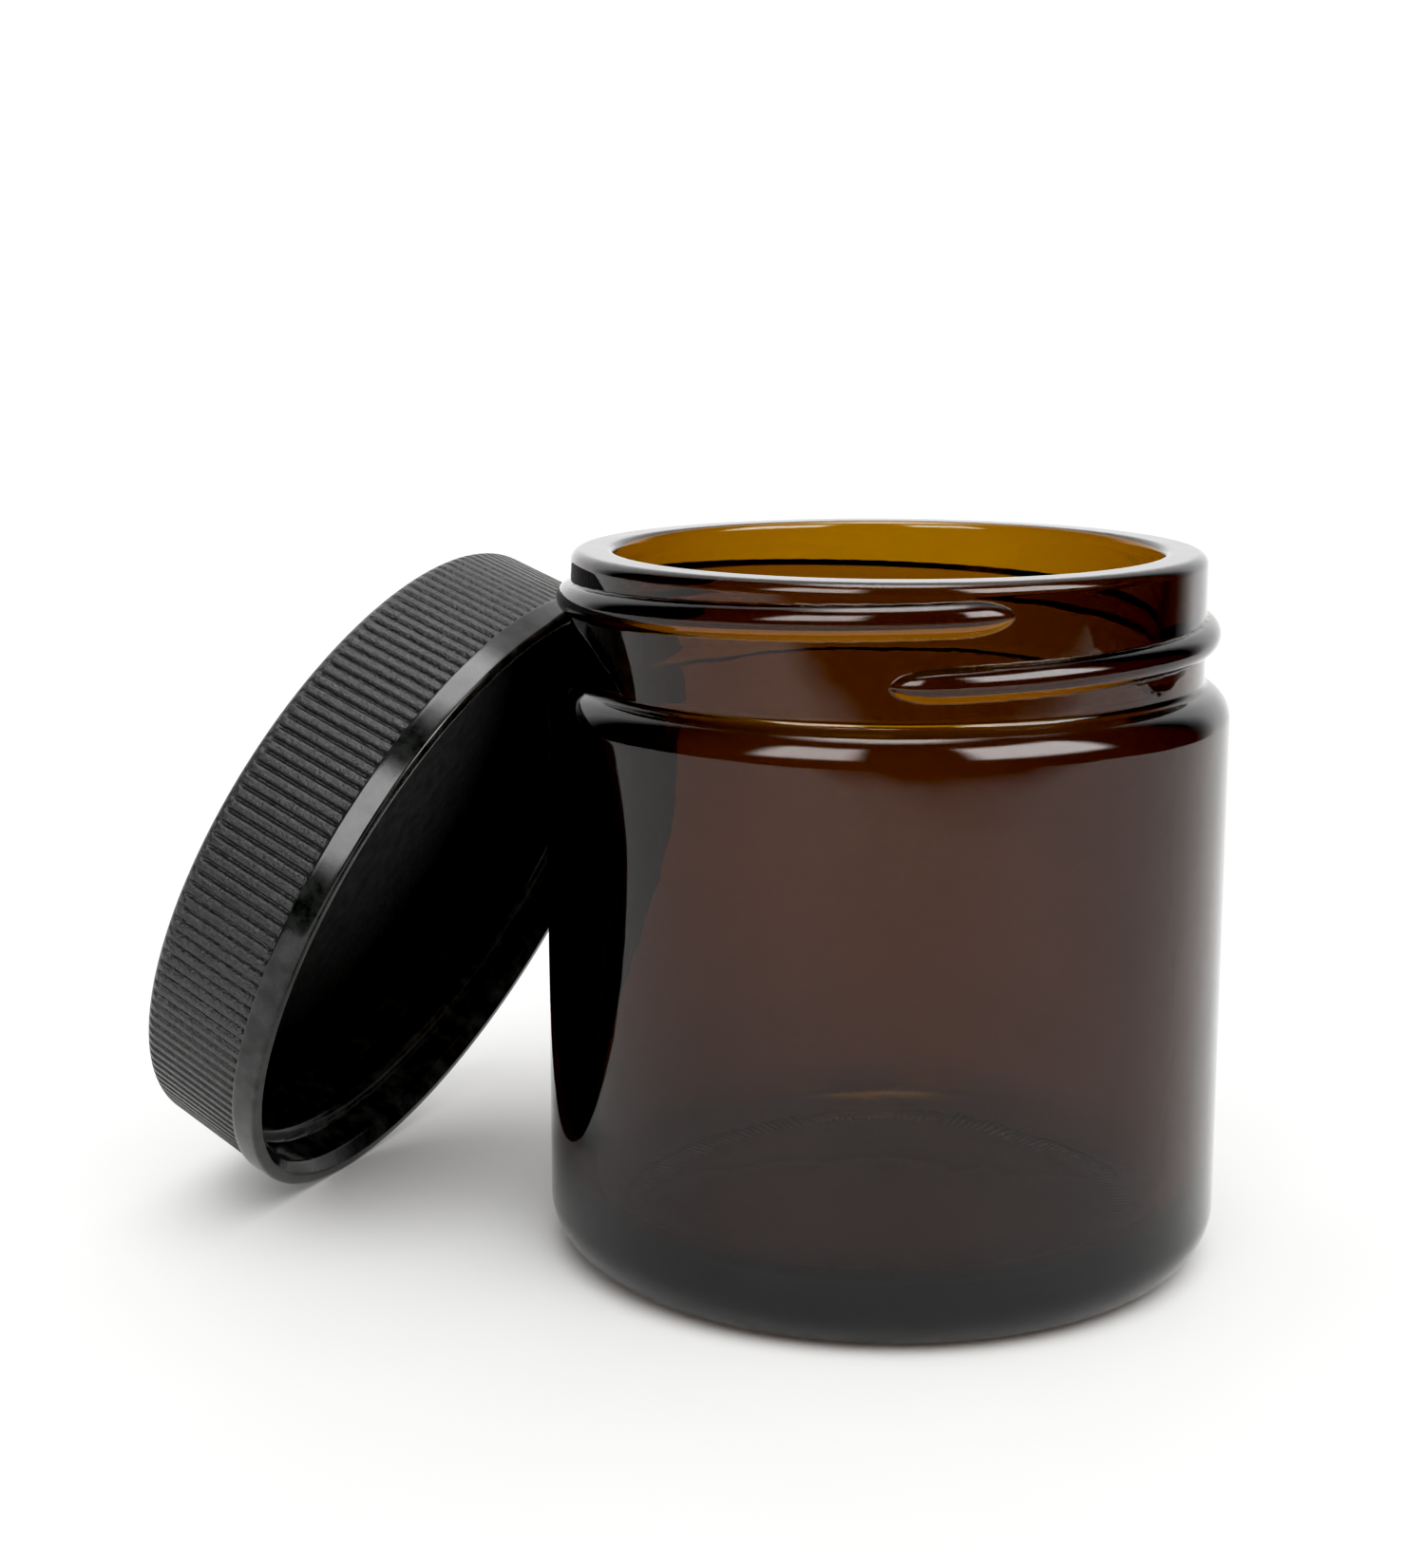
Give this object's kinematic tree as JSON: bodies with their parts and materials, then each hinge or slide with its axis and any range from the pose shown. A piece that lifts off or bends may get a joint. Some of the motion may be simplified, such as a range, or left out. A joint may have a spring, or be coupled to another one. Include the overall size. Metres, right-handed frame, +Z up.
{
  "type": "cosmetic cream jar",
  "caption": "Straight-sided amber glass cream jar with a threaded neck, and its ribbed black screw cap taken off and leaning on the neck.",
  "frame": {"origin": "centre of the jar's bearing ring, on the table and on the jar's axis", "axes": "+Z up along the jar's axis, out of the mouth; the cap leans on the -X side, with its axis parallel to the XZ plane"},
  "size_m": [0.0949, 0.0634, 0.0626],
  "materials": {
    "amber_glass": "smooth, glossy, seen through",
    "cap_plastic": "black, satin ribs and a glossy band",
    "pulpboard": "matte",
    "facing_film": "satin film"
  },
  "bodies": {
    "jar": {"jar": "amber_glass"},
    "wad": {"wad_board": "pulpboard", "wad_facing": "facing_film"},
    "cap": {"cap": "cap_plastic"}
  },
  "joints": [
    {"name": "cap_lift_off", "type": "slide", "parent": "jar", "child": "wad", "axis": [-0.9056, 0, 0.4242], "range_m": [0, 0.07]},
    {"name": "cap_turn", "type": "hinge", "parent": "wad", "child": "cap", "pos_m": [-0.04074, -0.0026, 0.02806], "axis": [-0.9056, 0, 0.4242], "continuous": true}
  ]
}
